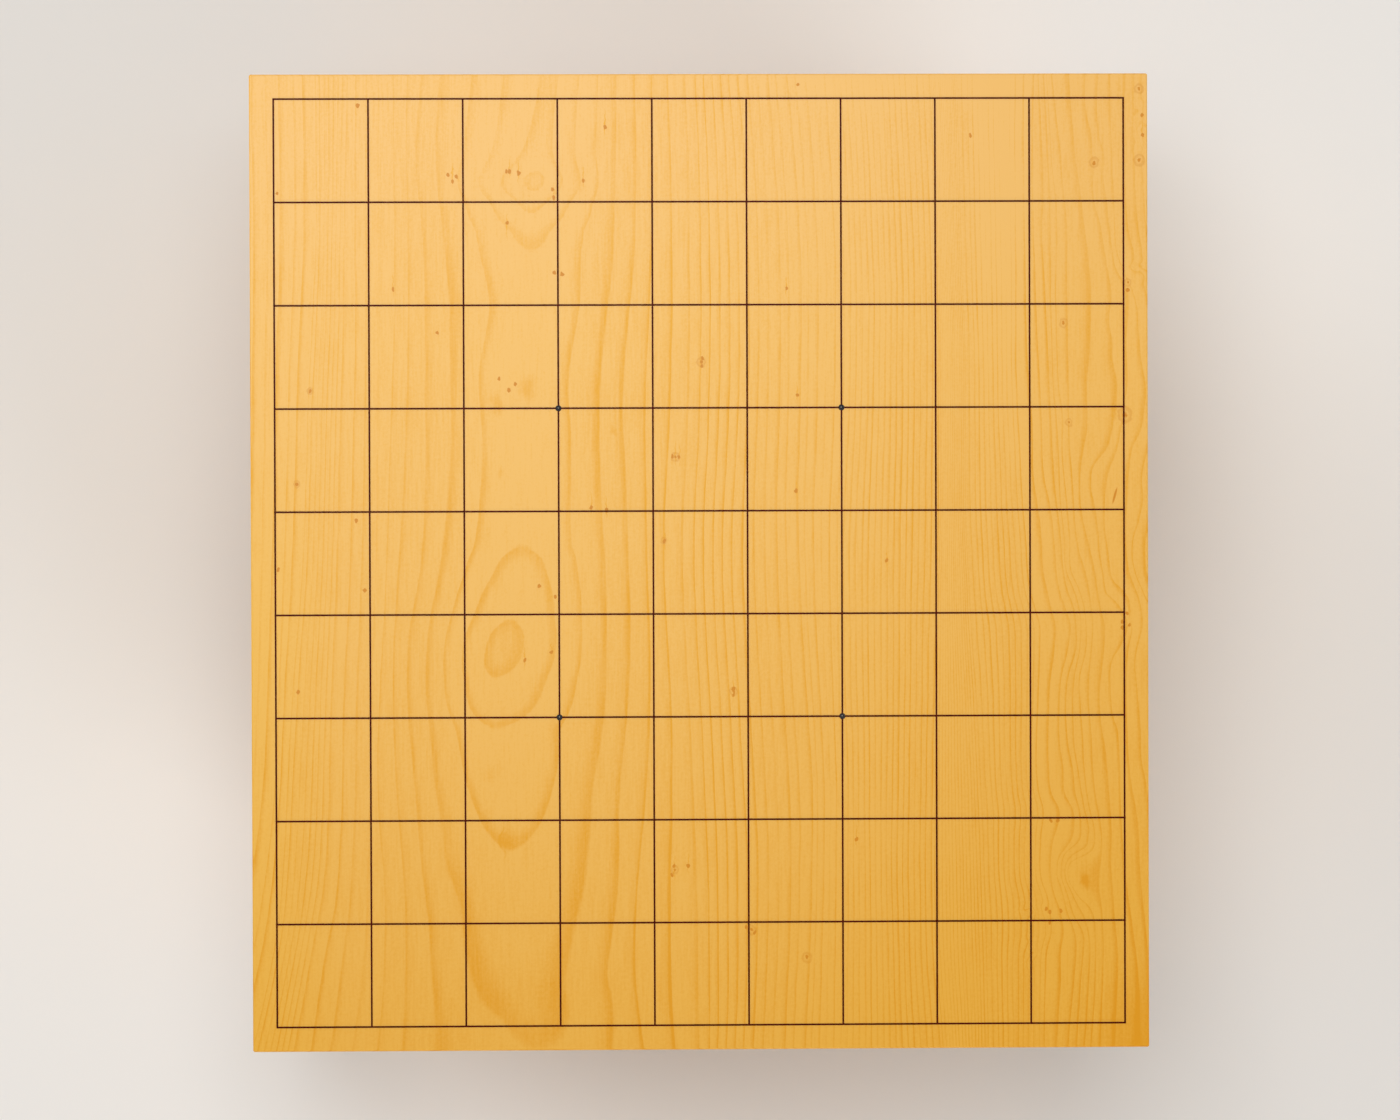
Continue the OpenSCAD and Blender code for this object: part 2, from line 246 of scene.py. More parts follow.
# Groups of deeper rings
SEASON_SCALE = 0.13
SEASON_RAMP = (0.35, 0.7)
SEASON_DEPTH = 0.15
# Painted sheen and shade: the wood is painted paler toward the far left, and deeper toward the near
# edge and, past this x, toward the right edge, as the key light's sheen and falloff would make it
PAINTED_SHADE_NEAR = 0.88
PAINTED_SHADE_POWER = 1.6
PAINTED_SHADE_RIGHT = 0.33
PAINTED_SHADE_FROM = -30.0
# Painted sheen: the far border is left untinted, paler and bluer, as a glossy sheen would make it. The
# wood is yellower from there inward, and beside the left edge, by x and by y
YELLOW_OUTSIDE_PAINTED_SHEEN = (150.0, 80.0, 0.0, 0.28)
YELLOW_LEFT_X = (-130.0, -165.0)
YELLOW_LEFT_Y = (60.0, -20.0, 0.0, 0.5)

# Curly grain: x, y, reach in x, reach in y
CURLS = [
    (163, 108, 6, 9),
    (158, 54, 5, 6),
    (159.5, -21, 4, 6),
    (165, 160, 5, 20),
    (124, -131, 8, 5),
    (123, -146, 4, 9),
]
CURL_SWING = 3.2
CURL_SCALE = 0.16
CURL_DETAIL = 1.5
# A spot's full share is the part of its reach within which it is at full strength
SOFT_FULL = 0.1
# Ring knots: x, y, radius
RING_KNOTS = [
    (147, 147.5, 2.1), (135.5, 88, 1.9), (137.5, 51, 1.5), (39.5, -147.5, 2.2), (158.3, 53.8, 3.2),
    (-149, 29, 1.4), (-144, 63.5, 1.4), (159.5, 103, 1.6), (19, -137, 2.0), (12.5, -48.5, 1.8),
    (-8.8, 38.7, 1.9), (0.9, 73.8, 1.9), (-13.2, 7.6, 1.4), (-9.5, -114.5, 1.7),
    (163.9, 174.8, 2.0), (163.8, 148.3, 2.4),
]
# Parts of a ring knot, as shares of its radius in x and y, and their full shares
KNOT_DISC = (1.0, 1.15, 0.75)
KNOT_HEART = (0.8, 0.9, 0.3)
KNOT_CORE = (0.35, 0.4, 0.4)
KNOT_RING_STRENGTH = 0.4
# Pin knots: x, y
PIN_KNOTS = [
    (-126, 169), (-92.5, 143.5), (-91, 141), (-89.5, 142.5), (-71, 144.5), (-69.8, 144.5),
    (-66.5, 144), (-71, 125.5), (-54, 138), (-53.5, 135), (-53.5, 107), (-50.5, 106.5),
    (-34.5, 161), (-42.5, 141), (-156, 136.5), (-113, 101), (-97, 85), (-144, 63.5),
    (-74, 68), (-70.5, 63.5), (-68, 66), (-149, 29), (-10, 39), (-7.5, 38.5), (-40, 20),
    (-34.5, 19), (-127, 15.5), (-13, 7.5), (1.5, 75), (1, 72.5), (-124, -10.5), (-156, -2.5),
    (-59.5, -9), (-53.5, -13), (-149, -48), (-65, -36.5), (-55, -33.5), (-10, -113),
    (-10.5, -116.5), (-4.5, -113), (32.5, 101), (36.5, 61.5), (36, 26), (101, 157.5),
    (69.5, 0), (12.5, -47.5), (130.5, -97), (133, -97), (128.5, -130), (130, -131),
    (134, -130.5), (17, -136), (20, -138), (58, -103.5), (159.5, 100), (157, -23),
    (159, -20), (157.3, -25.3), (160, -24.3), (165, 165), (165.2, 157.5),
    (37, 176.5), (130, -135), (39.5, -147.2), (147, 147.3), (135.5, 88.2), (12.5, -49.6),
]
PIN_RADIUS = 0.7
PIN_LENGTH = 1.3 * PIN_RADIUS
PIN_FULL = 0.7
# Dark streaks above and below some of the pins: x, y
STREAKS = [
    (-91, 144), (-69.8, 146), (-66.5, 145), (-53.6, 135.5), (-71, 124.5), (-34.5, 162),
    (-42.5, 142), (0.9, 74), (-8.8, 39.5), (-13, 8), (-34.5, 20), (-40, 21), (12.5, -47.5),
    (-9.7, -114), (-4.5, -112), (17, -135.5), (36, 27), (36.5, 62.5), (69.5, 1), (58, -102.5),
    (32.5, 102), (-65, -35.5), (-55, -32.5), (-113, 102), (165, 160), (-7.2, 39.5),
]
STREAK_WIDTH = 0.38
STREAK_LENGTH = 6.5
STREAK_STRENGTH = 0.9
# Knots reach this far down, and their outlines are a little uneven
KNOT_DEPTH = 30.0
KNOT_STRAY = 0.75
KNOT_STRAY_SCALE = 0.6
# Soft patches, dark where late wood only grazes the top and pale where strength is below 0:
# x, y, reach in x, reach in y, strength
BLOTS = [
    (-71.5, -102, 4, 6.5, 0.4),
    (-71, -33, 6, 13, 0.12),
    (-77.5, -79, 4, 5, 0.25),
    (-75.5, 58.5, 4, 6, 0.5),
    (-74, 33, 2, 4, 0.4),
    (-63.5, 64.5, 4.5, 7, 0.6),
    (-32, 48.5, 2, 2.5, 0.5),
    (170, -185, 26, 55, 0.55),
    (150, -190, 60, 50, 0.35),
    (-73.3, -104, 0.6, 11, 0.5),
    (143, -119.5, 2.6, 4.5, 0.9),
    (144, -118, 5, 9, 0.25),
    (-62, -172, 18, 16, -0.28),
    (112, 181, 14, 200, -0.5),
    (80, 190, 110, 28, -0.35),
]
BLOT_DRIFT = 3.0
BLOT_DRIFT_SCALE = 0.15
# A dark slanting check in the right column: x, y, lean, half width, half length
CHECK = (154.5, 23.8, 0.27, 0.55, 3.6)
CHECK_FULL = 0.6

# Noise mostly stays in this range.
NOISE_RANGE = (0.2, 0.8)
# Fibres across and along the grain, flecks, and large soft clouds: scale, detail, depth of colour
FIBRE_SCALE_ACROSS = 1.1
FIBRE_SCALE_ALONG = 0.06
FIBRE_DETAIL = 4.0
FIBRE_DEPTH = 0.34
FLECK_SCALE = 0.9
FLECK_DETAIL = 3.0
FLECK_DEPTH = 0.30
CLOUD_SIZE = 45.0
CLOUD_DETAIL = 3.0
CLOUD_DEPTH = 0.12
# How rough the noise of fibres and flecks is
GRIT = 0.7
# Planed and waxed faces, and end grain, which is darker and rougher
END_FACING = (0.6, 0.85)
END_DARKER = 2.2
END_SHARE = 0.5
END_ROUGHER = 0.15
WAX_ROUGHNESS = (0.33, 0.38)
WAX_GLOSS = 0.25
FIBRE_RELIEF = 0.02

# Wood colours, linear, at the far left and at the near right: the far left ones are painted paler as
# painted sheen, and the near right ones deeper as painted shade
PALE_WOOD = ((0.870, 0.503, 0.137, 1), (0.757, 0.385, 0.042, 1))
DARK_WOOD = ((0.810, 0.385, 0.010, 1), (0.690, 0.285, 0.000, 1))
KNOT_WOOD = (0.62, 0.23, 0.0, 1)
END_WOOD = ((0.70, 0.38, 0.13, 1), (0.48, 0.21, 0.04, 1))
YELLOW_TINT = (1.0, 1.0, 0.6, 1)
LINE_LACQUER = (0.090, 0.006, 0.002, 1)
STAR_LACQUER = (0.012, 0.008, 0.007, 1)
BLACK = (0.0, 0.0, 0.0, 1)

# How lacquer pools as it dries
POOL_RANGE = (0.3, 0.7)
LINE_POOL_SCALE = 0.8
LINE_POOL_DETAIL = 3.0
LINE_POOL_DARKER = 0.5
LINE_ROUGHNESS = (0.25, 0.35)
LINE_GLOSS = 0.03
LINE_RELIEF = 0.02
STAR_POOL_SCALE = 0.5
STAR_POOL_DETAIL = 1.0
STAR_ROUGHNESS = (0.10, 0.16)
STAR_GLOSS = 0.5
STAR_RELIEF = 0.01

# Leg, carved as in the frame
RIDGES = 8
FOOT_R = 24.0
FOOT_EDGE = 1.5
FOOT_FLUTE = 2.2
BELLY_R = 46.0
BELLY_Z = 40.0
BELLY_FLUTE = 4.6
NECK_R = 33.0
NECK_Z = SHOULDER - 17.0
NECK_FLUTE = 4.6
CROWN_R = 45.0
CROWN_Z = SHOULDER - 4.5
CROWN_FLUTE = 8.5
LIP_ROUND = 0.6
FLUTE_POWER = 1.8
RIDGE_SOFTNESS = 0.045
POINTS_PER_RIDGE = 20
# Levels up a leg: shares of the foot's rounded edge, then steps up to belly, neck and crown
FOOT_LEVELS = (0.0, 0.06, 0.25, 0.55, 1.0)
BELLY_STEPS = 22
NECK_STEPS = 20
CROWN_STEPS = 16
# The crown's lower lip is drawn in a little. The upper one is rounded, with a level at this share.
CROWN_DRAWN_IN = 0.2
LIP_SHARE = 0.2
SHARP_DEGREES = 40.0
TENON_W = 32.0
TENON_L = 26.0
TENON_BEVEL = 2.0
LEG_RING_WIDTH = 2.3
# From a leg's low corner to the pith of its wood, toward the middle of the board
LEG_PITH_X = 34.0
LEG_PITH_Y = 55.0
LEG_BEND_SIZE = (30.0, 30.0, 80.0)
LEG_BEND_SWING = 5.0
LEG_BEND_SHIFT = (9.0, 4.0, 7.0)


def inverse(sizes):
    """One over each size, to scale a place by."""
    return tuple(1 / size for size in sizes)


def share(value, span):
    """Where value lies from -span to span, as 0 to 1."""
    return (value + span) / (2 * span)


# Sockets of a Mix node that are used for colours
MIX_FIRST = 6
MIX_SECOND = 7
MIX_RESULT = 2


class Graph:
    """Adds shader nodes to one node tree, each linked to what is passed in."""

    def __init__(self, tree):
        self.tree = tree

    def add(self, kind, **settings):
        node = self.tree.nodes.new("ShaderNode" + kind)
        for name, value in settings.items():
            setattr(node, name, value)
        return node

    def feed(self, socket, source):
        if isinstance(source, bpy.types.NodeSocket):
            self.tree.links.new(source, socket)
        else:
            socket.default_value = source

    def math(self, operation, *terms, clamp=False):
        node = self.add("Math", operation=operation, use_clamp=clamp)
        for socket, term in zip(node.inputs, terms):
            self.feed(socket, term)
        return node.outputs[0]

    def distance(self, x, y):
        """Length of the slope over x and y."""
        return self.math("SQRT", self.math("MULTIPLY_ADD", x, x, self.math("MULTIPLY", y, y)))

    def vector(self, operation, *terms):
        node = self.add("VectorMath", operation=operation)
        for socket, term in zip(node.inputs, terms):
            self.feed(socket, term)
        return node.outputs["Value" if operation in ("LENGTH", "DOT_PRODUCT") else "Vector"]

    def combine(self, x, y, z):
        node = self.add("CombineXYZ")
        for socket, term in zip(node.inputs, (x, y, z)):
            self.feed(socket, term)
        return node.outputs[0]

    def separate(self, vector):
        node = self.add("SeparateXYZ")
        self.feed(node.inputs[0], vector)
        return node.outputs

    def ramp(self, value, from_min, from_max, to_min=0.0, to_max=1.0, smooth=False):
        """value, clamped, from one range to another. A smooth ramp needs no clamp of its own."""
        kind = "SMOOTHSTEP" if smooth else "LINEAR"
        node = self.add("MapRange", interpolation_type=kind, clamp=not smooth)
        for socket, term in zip(node.inputs, (value, from_min, from_max, to_min, to_max)):
            self.feed(socket, term)
        return node.outputs["Result"]

    def curve(self, y, points, span_out):
        """A smooth curve along y through the points, giving 0 to 1 over -span_out to span_out."""
        node = self.add("FloatCurve")
        line = node.mapping.curves[0]
        places = [(share(a, SPAN_Y), share(b, span_out)) for a, b in points]
        line.points[0].location = places[0]
        line.points[1].location = places[-1]
        for place in places[1:-1]:
            line.points.new(*place)
        node.mapping.update()
        self.feed(node.inputs["Value"], self.ramp(y, -SPAN_Y, SPAN_Y))
        return node.outputs[0]

    def reading(self, y, points, span_out):
        """The same curve, in the unit of its points."""
        curve = self.curve(y, points, span_out)
        return self.math("MULTIPLY_ADD", curve, 2 * span_out, -span_out)

    def noise(self, vector, scale=1.0, detail=2.0, roughness=0.5, dimensions="3D", output="Fac"):
        node = self.add("TexNoise", noise_dimensions=dimensions)
        if dimensions == "1D":
            self.feed(node.inputs["W"], vector)
        else:
            self.feed(node.inputs["Vector"], vector)
        node.inputs["Scale"].default_value = scale
        node.inputs["Detail"].default_value = detail
        node.inputs["Roughness"].default_value = roughness
        return node.outputs[output]

    def swing(self, vector, amount, **settings):
        """Noise from about -amount to amount."""
        noise = self.noise(vector, **settings)
        return self.math("MULTIPLY", self.math("SUBTRACT", noise, 0.5), 2 * amount)

    def mix(self, factor, first, second, blend_type="MIX"):
        node = self.add("Mix", data_type="RGBA", blend_type=blend_type)
        self.feed(node.inputs[0], factor)
        self.feed(node.inputs[MIX_FIRST], first)
        self.feed(node.inputs[MIX_SECOND], second)
        return node.outputs[MIX_RESULT]

    def gather(self, operation, terms):
        """Joins the terms one by one. A generator makes each just before its use, which saves room."""
        result = None
        for term in terms:
            result = term if result is None else self.math(operation, result, term)
        return result

    def total(self, terms):
        return self.gather("ADD", terms)

    def largest(self, terms):
        return self.gather("MAXIMUM", terms)

    def position(self):
        """Place on the object at rest, in millimetres."""
        node = self.add("TexCoord")
        return self.vector("MULTIPLY", node.outputs["Object"], inverse((MM, MM, MM)))


def new_material(name):
    material = bpy.data.materials.new(name)
    material.use_nodes = True
    material.node_tree.nodes.clear()
    return material, Graph(material.node_tree)


def surface(graph, color, roughness, height, bump_mm, **constants):
    """A principled shader whose constants sit on its own sockets."""
    shader = graph.add("BsdfPrincipled")
    graph.feed(shader.inputs["Base Color"], color)
    graph.feed(shader.inputs["Roughness"], roughness)
    for name, value in constants.items():
        shader.inputs[name.replace("_", " ")].default_value = value
    bump = graph.add("Bump")
    bump.inputs["Distance"].default_value = bump_mm * MM
    graph.feed(bump.inputs["Height"], height)
    graph.feed(shader.inputs["Normal"], bump.outputs[0])
    output = graph.add("OutputMaterial")
    graph.feed(output.inputs["Surface"], shader.outputs[0])


def top_rings(graph, x, y):
    """Ring number where (x, y) meets the top."""
    across = graph.ramp(x, -SPAN_X, SPAN_X)

    def place(points):
        return graph.curve(y, points, SPAN_X)

    crest = place(CREST_LINE)
    crest_ring = graph.reading(y, CREST_RINGS, RING_SPAN)
    steps = 0.0
    shares = []
    for side in (LEFT_RINGS, RIGHT_RINGS):
        inner = place(side[0][1])
        shares.append(graph.ramp(across, crest, inner))
        number = side[0][0]
        for ring, points in side[1:]:
            outer = place(points)
            steps = graph.math("ADD", steps, graph.ramp(across, inner, outer, 0.0, ring - number))
            inner = outer
            number = ring
    out = graph.math("MAXIMUM", *shares)
    (low_y, low_round), (high_y, high_round) = CREST_ROUND
    soft = graph.ramp(y, low_y, high_y, low_round, high_round, smooth=True)
    square = graph.math("MULTIPLY", soft, soft)
    rounded = graph.math("SQRT", graph.math("MULTIPLY_ADD", out, out, square))
    climb = graph.ramp(rounded, soft, graph.math("SQRT", graph.math("ADD", square, 1.0)))
    rise = graph.math("MULTIPLY", graph.math("SUBTRACT", 1.0, crest_ring), climb)
    return graph.total([crest_ring, rise, steps])


def spot(graph, place, x, y, reach_x, reach_y, full):
    """1 inside an ellipse that reaches down from the top, falling smoothly to 0 at its rim."""
    scale = inverse((reach_x, reach_y, KNOT_DEPTH))
    offset = (-x / reach_x, -y / reach_y, -TOP / KNOT_DEPTH)
    distance = graph.vector("LENGTH", graph.vector("MULTIPLY_ADD", place, scale, offset))
    return graph.ramp(distance, 1.0, full, smooth=True)


def board_rings(graph, position):
    """Ring number anywhere in the block: rings lie round a pith below it, and match the top."""
    wobble = graph.vector("MULTIPLY", position, inverse(WOBBLE_SIZE))
    x, y, z = graph.separate(position)
    curly = graph.largest(spot(graph, position, *curl, full=SOFT_FULL) for curl in CURLS)
    curl = graph.swing(position, 2 * CURL_SWING, scale=CURL_SCALE, detail=CURL_DETAIL)
    x = graph.total([
        x,
        graph.swing(wobble, WOBBLE_SWING, detail=WOBBLE_DETAIL),
        graph.math("MULTIPLY", curly, curl),
    ])
    crest = graph.reading(y, CREST_LINE, SPAN_X)
    aside = graph.math("SUBTRACT", x, crest)
    below = graph.math("SUBTRACT", TOP, z)
    drop = graph.math("SUBTRACT", PITH_DEPTH, below)
    radius = graph.distance(aside, drop)
    beyond = graph.math("MAXIMUM", radius, PITH_DEPTH)
    beyond_squared = graph.math("MULTIPLY", beyond, beyond)
    reach = graph.math("SQRT", graph.math("SUBTRACT", beyond_squared, PITH_DEPTH ** 2))
    mapped = graph.math("MULTIPLY_ADD", reach, graph.math("SIGN", aside), crest)
    inside = graph.math("DIVIDE", graph.math("SUBTRACT", radius, beyond), INNER_RING_WIDTH)
    return graph.math("ADD", top_rings(graph, mapped, y), inside)


def ring_darkness(graph, rings, position):
    """0 in the early wood, rising slowly to the late wood and ending at a sharp edge."""
    stray = graph.swing(rings, RING_STRAY, scale=RING_STRAY_SCALE, detail=1.0, dimensions="1D")
    rings = graph.math("ADD", rings, stray)
    phase = graph.math("FRACT", rings)
    rise = graph.ramp(phase, *RING_RISE, smooth=True)
    inner_start = graph.ramp(rings, *LATE_START_INNER)
    late_start = graph.ramp(rings, *LATE_START_RINGS, inner_start, LATE_START_OUTER)
    core = graph.ramp(phase, late_start, LATE_WOOD_END, 0.0, LATE_WOOD_DARK, smooth=True)
    edge = graph.ramp(phase, *RING_EDGE, smooth=True)
    dark = graph.math("MULTIPLY", graph.math("ADD", rise, core), edge)
    lottery = graph.add("TexWhiteNoise", noise_dimensions="1D")
    graph.feed(lottery.inputs["W"], graph.math("FLOOR", rings))
    weakest_inner = graph.ramp(rings, *WEAKEST_INNER)
    weakest = graph.math("MAXIMUM", weakest_inner, graph.ramp(rings, *WEAKEST_OUTER))
    weight = graph.ramp(lottery.outputs["Value"], 0.0, 1.0, weakest, 1.0)
    lively = graph.ramp(rings, *LIVELY_OUTER)
    patchy = graph.ramp(graph.noise(position, scale=1 / PATCH_SIZE), *PATCH_RAMP)
    patchy = graph.math("MULTIPLY", patchy, lively)
    return graph.math("MULTIPLY", graph.math("MULTIPLY", dark, weight), patchy)


def vigour(graph, position):
    """How strongly the board's rings show at a place."""
    x, y, _ = graph.separate(position)
    across = graph.reading(x, VIGOUR_ACROSS, VIGOUR_SPAN)
    along = graph.reading(y, VIGOUR_ALONG, VIGOUR_SPAN)
    return graph.math("MULTIPLY", across, along)


def seasons(graph, rings):
    """Groups of rings that grew a little deeper in colour."""
    noise = graph.noise(rings, scale=SEASON_SCALE, dimensions="1D")
    return graph.ramp(noise, *SEASON_RAMP, smooth=True)


def ring_knot(graph, place, x, y, radius):
    """A faint ring round a darker core."""
    def part(share_x, share_y, full):
        return spot(graph, place, x, y, radius * share_x, radius * share_y, full)

    disc = part(*KNOT_DISC)
    heart = part(*KNOT_HEART)
    ring = graph.math("MULTIPLY", graph.math("SUBTRACT", disc, heart), KNOT_RING_STRENGTH)
    return graph.math("MAXIMUM", ring, part(*KNOT_CORE))


def knots(graph, position):
    """How much knot there is at a place, and how much dark streak above and below the pins."""
    stray = graph.noise(position, scale=KNOT_STRAY_SCALE, output="Color")
    whole = (2 * KNOT_STRAY, 2 * KNOT_STRAY, 0.0)
    half = (-KNOT_STRAY, -KNOT_STRAY, 0.0)
    place = graph.vector("ADD", position, graph.vector("MULTIPLY_ADD", stray, whole, half))
    streak = graph.largest(
        spot(graph, place, x, y, STREAK_WIDTH, STREAK_LENGTH, full=SOFT_FULL) for x, y in STREAKS
    )
    pins = graph.largest(
        spot(graph, place, x, y, PIN_RADIUS, PIN_LENGTH, full=PIN_FULL) for x, y in PIN_KNOTS
    )
    knot = graph.largest(ring_knot(graph, place, *values) for values in RING_KNOTS)
    x, y, lean, half_width, half_length = CHECK
    across, along, depth = graph.separate(position)
    leaned = graph.math("MULTIPLY_ADD", graph.math("SUBTRACT", along, y), -lean, across)
    place = graph.combine(leaned, along, depth)
    check = spot(graph, place, x, y, half_width, half_length, full=CHECK_FULL)
    return graph.largest([pins, knot, check]), streak


def blots(graph, position):
    """Soft patches of deeper or paler wood."""
    aside = graph.swing(position, BLOT_DRIFT, scale=BLOT_DRIFT_SCALE)
    place = graph.vector("ADD", position, graph.combine(aside, 0.0, 0.0))
    return graph.total(
        graph.math("MULTIPLY", spot(graph, place, x, y, reach_x, reach_y, SOFT_FULL), strength)
        for x, y, reach_x, reach_y, strength in BLOTS
    )


def wood_surface(graph, position, rings, dark, along, knot=None):
    """Colour and relief of planed, waxed wood, with painted sheen and shade across it: along is the
    axis that its fibres follow.
    """
    scale = [FIBRE_SCALE_ALONG if axis == along else FIBRE_SCALE_ACROSS for axis in "xyz"]
    stretched = graph.vector("MULTIPLY", position, scale)
    fibre = graph.noise(stretched, detail=FIBRE_DETAIL, roughness=GRIT)
    fleck = graph.noise(position, scale=FLECK_SCALE, detail=FLECK_DETAIL, roughness=GRIT)
    normal = graph.separate(graph.add("TexCoord").outputs["Normal"])["xyz".index(along)]
    end = graph.ramp(graph.math("ABSOLUTE", normal), *END_FACING, smooth=True)
    dark = graph.math("MULTIPLY", dark, graph.ramp(end, 0.0, 1.0, 1.0, END_DARKER))
    depth = graph.total([
        dark,
        graph.ramp(fibre, *NOISE_RANGE, -FIBRE_DEPTH, FIBRE_DEPTH),
        graph.ramp(fleck, *NOISE_RANGE, -FLECK_DEPTH, FLECK_DEPTH),
        graph.swing(position, CLOUD_DEPTH, scale=1 / CLOUD_SIZE, detail=CLOUD_DETAIL),
        graph.math("MULTIPLY", seasons(graph, rings), SEASON_DEPTH),
    ])
    # Painted sheen and shade: the colour runs from paler at the far left to deeper at the near right,
    # standing in for the key light's sheen and falloff.
    x, y, _ = graph.separate(position)
    near = graph.math("POWER", graph.ramp(y, HALF_L, -HALF_L), PAINTED_SHADE_POWER)
    right = graph.ramp(x, PAINTED_SHADE_FROM, HALF_W, 0.0, PAINTED_SHADE_RIGHT, smooth=True)
    painted_sheen_to_shade = graph.math("MULTIPLY_ADD", near, PAINTED_SHADE_NEAR, right, clamp=True)
    color = graph.mix(depth, graph.mix(painted_sheen_to_shade, *PALE_WOOD), graph.mix(painted_sheen_to_shade, *DARK_WOOD))
    if knot is not None:
        color = graph.mix(knot, color, KNOT_WOOD)
    # Yellow tint everywhere but the far border, which stays whiter as painted sheen, and more yellow
    # beside the left edge.
    left = graph.ramp(x, *YELLOW_LEFT_X)
    left = graph.math("MULTIPLY", left, graph.ramp(y, *YELLOW_LEFT_Y))
    yellow = graph.math("ADD", graph.ramp(y, *YELLOW_OUTSIDE_PAINTED_SHEEN), left)
    color = graph.mix(yellow, color, graph.mix(1.0, color, YELLOW_TINT, "MULTIPLY"))
    color = graph.mix(graph.math("MULTIPLY", end, END_SHARE), color, graph.mix(depth, *END_WOOD))
    waxed = graph.ramp(fibre, *NOISE_RANGE, *WAX_ROUGHNESS)
    roughness = graph.math("ADD", waxed, graph.math("MULTIPLY", end, END_ROUGHER))
    surface(graph, color, roughness, fibre, FIBRE_RELIEF, Specular_IOR_Level=WAX_GLOSS)


def board_wood():
    material, graph = new_material("board_wood")
    position = graph.position()
    place = graph.vector("ADD", position, GRAIN_ORIGIN)
    rings = board_rings(graph, place)
    dark = graph.math("MULTIPLY", ring_darkness(graph, rings, place), vigour(graph, place))
    knot, streak = knots(graph, place)
    dark = graph.math("MAXIMUM", dark, graph.math("MULTIPLY", streak, STREAK_STRENGTH))
    dark = graph.math("ADD", dark, blots(graph, place))
    wood_surface(graph, position, rings, dark, "y", knot=knot)
    return material


def line_lacquer():
    """Thin, dry lacquer strokes: nearly black, with a brown cast and hardly any shine."""
    material, graph = new_material("line_lacquer")
    pool = graph.noise(graph.position(), scale=LINE_POOL_SCALE, detail=LINE_POOL_DETAIL)
    color = graph.mix(graph.ramp(pool, *POOL_RANGE, 0.0, LINE_POOL_DARKER), LINE_LACQUER, BLACK)
    roughness = graph.ramp(pool, *POOL_RANGE, *LINE_ROUGHNESS)
    surface(graph, color, roughness, pool, LINE_RELIEF, Specular_IOR_Level=LINE_GLOSS)
    return material


def star_lacquer():
    """Full, glossy drops of black lacquer."""
    material, graph = new_material("star_lacquer")
    pool = graph.noise(graph.position(), scale=STAR_POOL_SCALE, detail=STAR_POOL_DETAIL)
    color = graph.mix(graph.ramp(pool, *POOL_RANGE), STAR_LACQUER, BLACK)
    roughness = graph.ramp(pool, *POOL_RANGE, *STAR_ROUGHNESS)
    surface(graph, color, roughness, pool, STAR_RELIEF, Specular_IOR_Level=STAR_GLOSS)
    return material


def leg_wood(name, pith_x, pith_y):
    """Upright grain whose rings lie round a pith in the leg or beside it."""
    material, graph = new_material("leg_wood_" + name)
    position = graph.position()
    bend = graph.vector("MULTIPLY", position, inverse(LEG_BEND_SIZE))
    x, y, _ = graph.separate(position)
    aside_x = graph.math("SUBTRACT", x, pith_x)
    aside_x = graph.math("ADD", aside_x, graph.swing(bend, LEG_BEND_SWING))
    aside_y = graph.math("SUBTRACT", y, pith_y)
    bend = graph.vector("ADD", bend, LEG_BEND_SHIFT)
    aside_y = graph.math("ADD", aside_y, graph.swing(bend, LEG_BEND_SWING))
    rings = graph.math("DIVIDE", graph.distance(aside_x, aside_y), LEG_RING_WIDTH)
    wood_surface(graph, position, rings, ring_darkness(graph, rings, position), "z")
    return material


def ease(start, end, way):
    """From start to end, level at both, at a way of 0 to 1."""
    return start + (end - start) * (1 - math.cos(math.pi * way)) / 2


def ridge_radius(z):
    """How far a ridge is from a leg's middle at a height."""
    if z < BELLY_Z:
        return FOOT_R + (BELLY_R - FOOT_R) * math.sin(math.pi / 2 * z / BELLY_Z)
    if z < NECK_Z:
        return ease(BELLY_R, NECK_R, (z - BELLY_Z) / (NECK_Z - BELLY_Z))
    if z < CROWN_Z:
        turn = math.pi / 2 * (z - NECK_Z) / (CROWN_Z - NECK_Z)
        return NECK_R + (CROWN_R - NECK_R) * (1 - math.cos(turn))
    return CROWN_R


def flute_depth(z):
    """How deep the hollows between the ridges are at a height."""
    if z < BELLY_Z:
        return ease(FOOT_FLUTE, BELLY_FLUTE, z / BELLY_Z)
    if z < NECK_Z:
        return ease(BELLY_FLUTE, NECK_FLUTE, (z - BELLY_Z) / (NECK_Z - BELLY_Z))
    if z < CROWN_Z:
        return ease(NECK_FLUTE, CROWN_FLUTE, (z - NECK_Z) / (CROWN_Z - NECK_Z))
    return CROWN_FLUTE


def leg_levels():
    """Heights up a leg, each with how far the surface is drawn in there by a rounded edge."""
    def span(start, end, steps):
        return [start + (end - start) * step / steps for step in range(1, steps + 1)]

    levels = []
    for up in FOOT_LEVELS:
        levels.append((FOOT_EDGE * up, FOOT_EDGE * (1 - math.sqrt(1 - (1 - up) ** 2))))
    heights = span(FOOT_EDGE, BELLY_Z, BELLY_STEPS)
    heights += span(BELLY_Z, NECK_Z, NECK_STEPS)
    heights += span(NECK_Z, CROWN_Z - LIP_ROUND, CROWN_STEPS)
    levels += [(z, 0.0) for z in heights]
    levels += [
        (CROWN_Z, CROWN_DRAWN_IN),
        (CROWN_Z + LIP_ROUND, 0.0),
        (SHOULDER - LIP_ROUND, 0.0),
        (SHOULDER - LIP_SHARE * LIP_ROUND, LIP_SHARE * LIP_ROUND),
        (SHOULDER, LIP_ROUND),
    ]
    return levels


def leg_angles():
    """Each point round a leg: its angle and how far it is from the middle of its hollow."""
    points = []
    for ridge in range(RIDGES):
        for step in range(POINTS_PER_RIDGE):
            across = math.sin(math.pi / 2 * (2 * step / POINTS_PER_RIDGE - 1))
            points.append((2 * math.pi / RIDGES * (ridge + across / 2), abs(across)))
    return points


